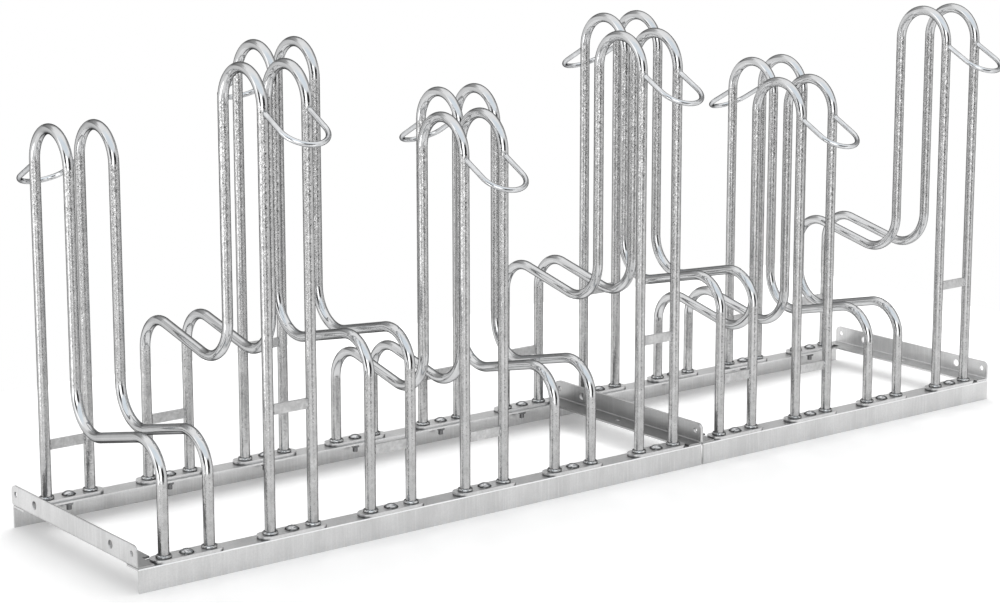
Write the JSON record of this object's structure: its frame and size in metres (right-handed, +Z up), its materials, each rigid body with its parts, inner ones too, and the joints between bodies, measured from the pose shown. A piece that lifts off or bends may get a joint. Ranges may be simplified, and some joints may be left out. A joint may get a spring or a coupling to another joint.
{
  "type": "two tier bike rack",
  "caption": "Double sided bicycle rack of bent steel tubes on two joined base frames, with low and high wheel places and lock loops on both sides.",
  "frame": {"origin": "middle of the rack on the ground, halfway between its ends and its two rails", "axes": "+X along the rack, +Y to its rear side, +Z up"},
  "size_m": [1.75, 0.5178, 0.717],
  "materials": {
    "tube": "hot dip galvanised, spangled, brighter in the bends",
    "rail": "hot dip galvanised, finely streaked",
    "end_plate": "hot dip galvanised, smooth",
    "foot_plate": "hot dip galvanised, dull",
    "tie": "hot dip galvanised, dull",
    "loop": "hot dip galvanised, bright",
    "fastener": "zinc plated, bright"
  },
  "bodies": {
    "root": {"stand_01_left_tube": "tube", "stand_01_right_tube": "tube", "stand_01_foot_plates": "foot_plate", "stand_01_ties": "tie", "stand_01_lock_loop": "loop", "stand_02_left_tube": "tube", "stand_02_right_tube": "tube", "stand_02_foot_plates": "foot_plate", "stand_02_ties": "tie", "stand_02_lock_loop": "loop", "stand_03_left_tube": "tube", "stand_03_right_tube": "tube", "stand_03_foot_plates": "foot_plate", "stand_03_ties": "tie", "stand_03_lock_loop": "loop", "stand_04_left_tube": "tube", "stand_04_right_tube": "tube", "stand_04_foot_plates": "foot_plate", "stand_04_ties": "tie", "stand_04_lock_loop": "loop", "stand_05_left_tube": "tube", "stand_05_right_tube": "tube", "stand_05_foot_plates": "foot_plate", "stand_05_ties": "tie", "stand_05_lock_loop": "loop", "stand_06_left_tube": "tube", "stand_06_right_tube": "tube", "stand_06_foot_plates": "foot_plate", "stand_06_ties": "tie", "stand_06_lock_loop": "loop", "stand_07_left_tube": "tube", "stand_07_right_tube": "tube", "stand_07_foot_plates": "foot_plate", "stand_07_ties": "tie", "stand_07_lock_loop": "loop", "stand_08_left_tube": "tube", "stand_08_right_tube": "tube", "stand_08_foot_plates": "foot_plate", "stand_08_ties": "tie", "stand_08_lock_loop": "loop", "stand_09_left_tube": "tube", "stand_09_right_tube": "tube", "stand_09_foot_plates": "foot_plate", "stand_09_ties": "tie", "stand_09_lock_loop": "loop", "stand_10_left_tube": "tube", "stand_10_right_tube": "tube", "stand_10_foot_plates": "foot_plate", "stand_10_ties": "tie", "stand_10_lock_loop": "loop", "left_module_front_rail": "rail", "left_module_rear_rail": "rail", "right_module_front_rail": "rail", "right_module_rear_rail": "rail", "left_module_left_end_plate": "end_plate", "left_module_right_end_plate": "end_plate", "right_module_left_end_plate": "end_plate", "right_module_right_end_plate": "end_plate", "foot_bolts": "fastener", "foot_nuts": "fastener"}
  },
  "joints": []
}
